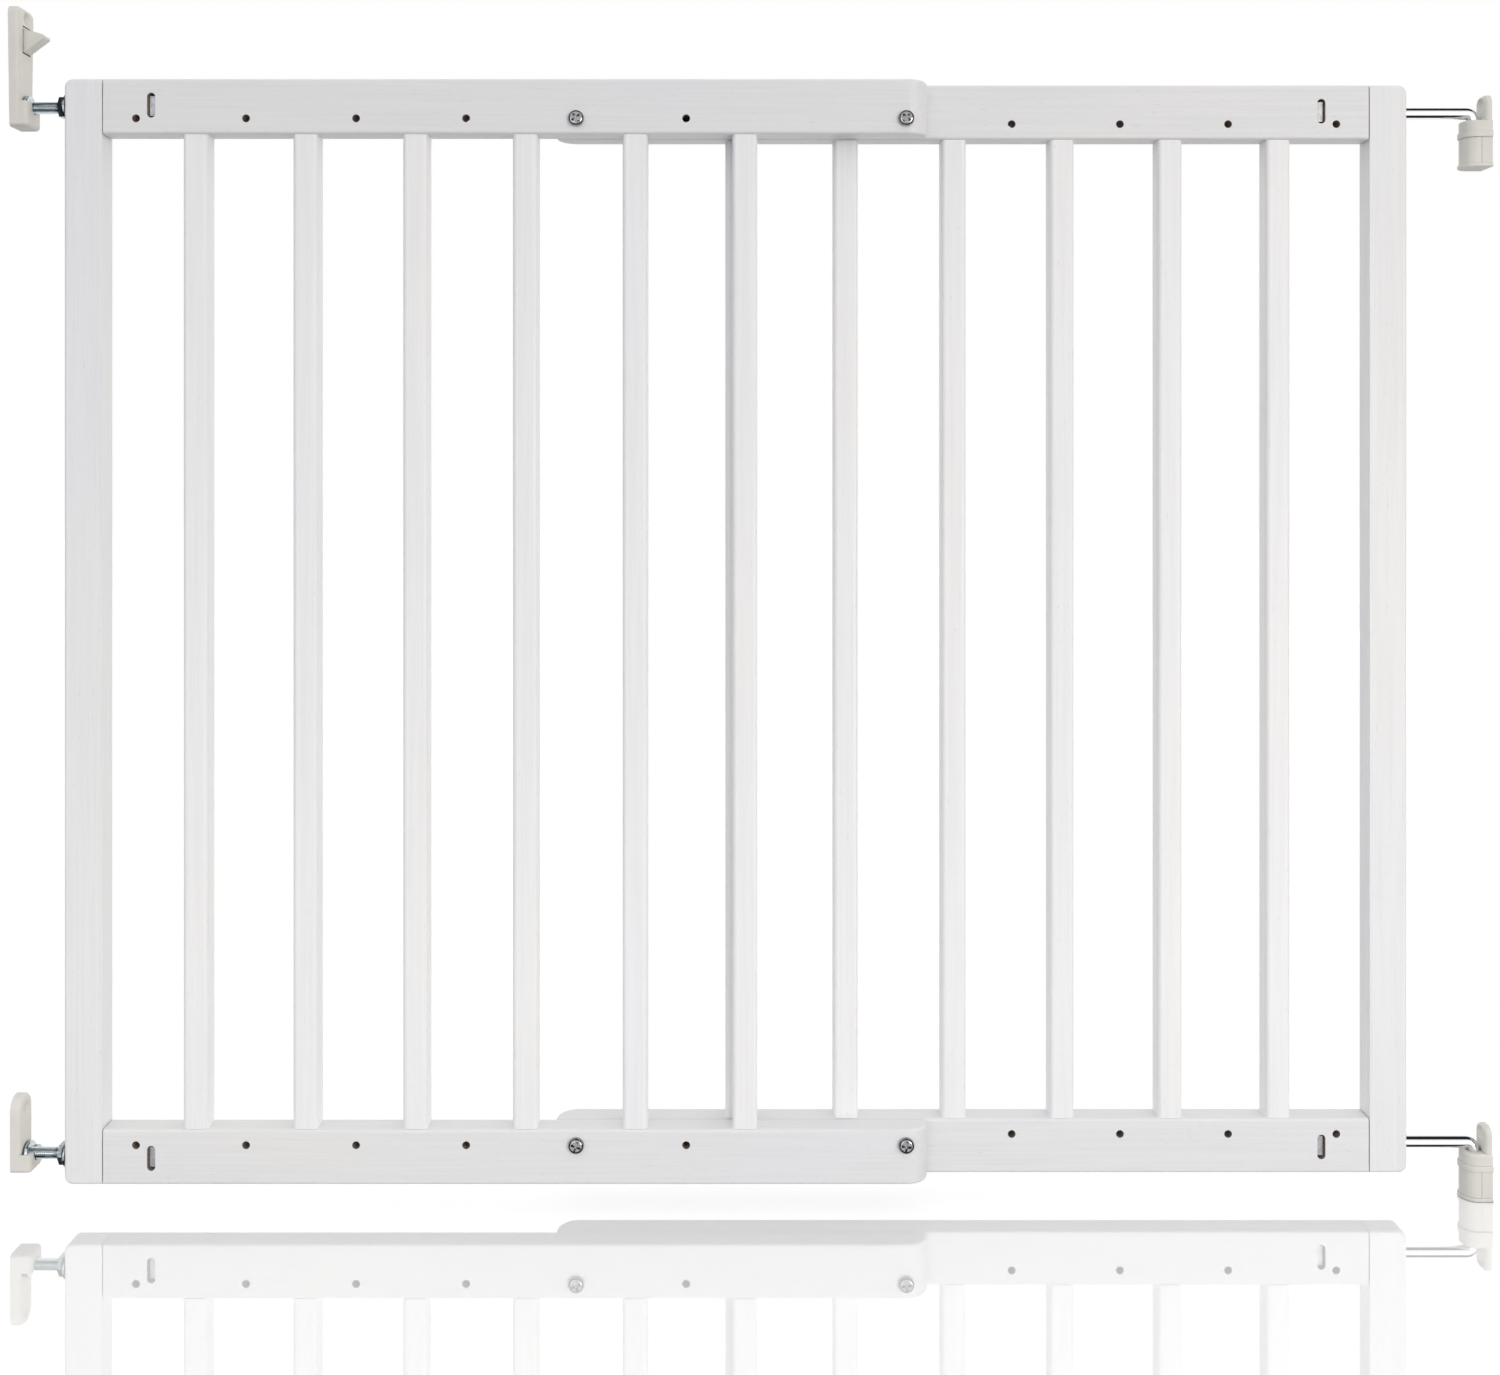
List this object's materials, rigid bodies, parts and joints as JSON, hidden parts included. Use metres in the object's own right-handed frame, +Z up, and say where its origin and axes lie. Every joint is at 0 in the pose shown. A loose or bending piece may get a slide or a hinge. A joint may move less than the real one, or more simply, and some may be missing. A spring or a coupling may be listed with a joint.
{
  "type": "extending safety gate",
  "caption": "White wooden child safety gate: overlapping barred leaves clamped by screws, hinge hooks in wall sockets, and latch bolts in wall plates with a thumb catch.",
  "frame": {"origin": "centre of the lower hinge socket's two wall screws, on the hinge wall's face", "axes": "+X along the gate towards the hinge wall, +Y through the gate from the front leaf to the back leaf, +Z up; the gate lies at -X"},
  "size_m": [0.9868, 0.0481, 0.7966],
  "materials": {
    "painted_wood": "satin white paint with the grain just showing",
    "bare_wood": "bare beech dowel, hidden",
    "zinc": "bright zinc plate",
    "bright_rod": "polished",
    "plastic": "satin off-white moulding"
  },
  "bodies": {
    "hinge_wall": {"hinge_socket_top": "plastic", "hinge_socket_bottom": "plastic", "socket_cover_top": "plastic", "socket_cover_bottom": "plastic"},
    "hooks": {"hinge_hook_top": "bright_rod", "hinge_hook_bottom": "bright_rod"},
    "gate": {"front_stile": "painted_wood", "front_top_rail": "painted_wood", "front_bottom_rail": "painted_wood", "front_bar_1": "painted_wood", "front_bar_2": "painted_wood", "front_bar_3": "painted_wood", "front_bar_4": "painted_wood", "front_bar_5": "painted_wood", "front_bar_6": "painted_wood", "back_stile": "painted_wood", "back_top_rail": "painted_wood", "back_bottom_rail": "painted_wood", "back_bar_1": "painted_wood", "back_bar_2": "painted_wood", "back_bar_3": "painted_wood", "back_bar_4": "painted_wood", "back_bar_5": "painted_wood", "back_bar_6": "painted_wood", "front_dowels": "bare_wood", "back_dowels": "bare_wood", "front_square_nuts": "zinc", "back_square_nuts": "zinc", "clamp_screws": "zinc", "clamp_nuts": "zinc", "lock_nut_top": "zinc", "lock_nut_bottom": "zinc"},
    "bolt_top": {"latch_bolt_top": "zinc"},
    "bolt_bottom": {"latch_bolt_bottom": "zinc"},
    "latch_top": {"latch_plate_top": "plastic"},
    "latch_bottom": {"latch_plate_bottom": "plastic"},
    "catch": {"catch": "plastic"}
  },
  "joints": [
    {"name": "gate_swing", "type": "hinge", "parent": "hinge_wall", "child": "hooks", "pos_m": [-0.0095, 0, 0.01175], "axis": [0, 0, 1], "range_deg": [-90, 90]},
    {"name": "hook_adjust", "type": "slide", "parent": "hooks", "child": "gate", "axis": [1, 0, 0], "range_m": [-0.012, 0.008]},
    {"name": "bolt_adjust_top", "type": "slide", "parent": "gate", "child": "bolt_top", "axis": [-1, 0, 0], "range_m": [-0.01, 0.008]},
    {"name": "bolt_adjust_bottom", "type": "slide", "parent": "gate", "child": "bolt_bottom", "axis": [-1, 0, 0], "range_m": [-0.01, 0.008]},
    {"name": "latch_lift_top", "type": "slide", "parent": "bolt_top", "child": "latch_top", "axis": [0, 0, -1], "range_m": [0, 0.018]},
    {"name": "latch_lift_bottom", "type": "slide", "parent": "bolt_bottom", "child": "latch_bottom", "axis": [0, 0, -1], "range_m": [0, 0.018]},
    {"name": "catch_press", "type": "hinge", "parent": "latch_top", "child": "catch", "pos_m": [-0.9811, -0.018, 0.74365], "axis": [0, -1, 0], "range_deg": [0, 8], "stiffness_Nm_per_rad": 2}
  ],
  "couplings": [
    {"joint": "latch_lift_bottom", "follows": "latch_lift_top", "ratio": 1}
  ]
}
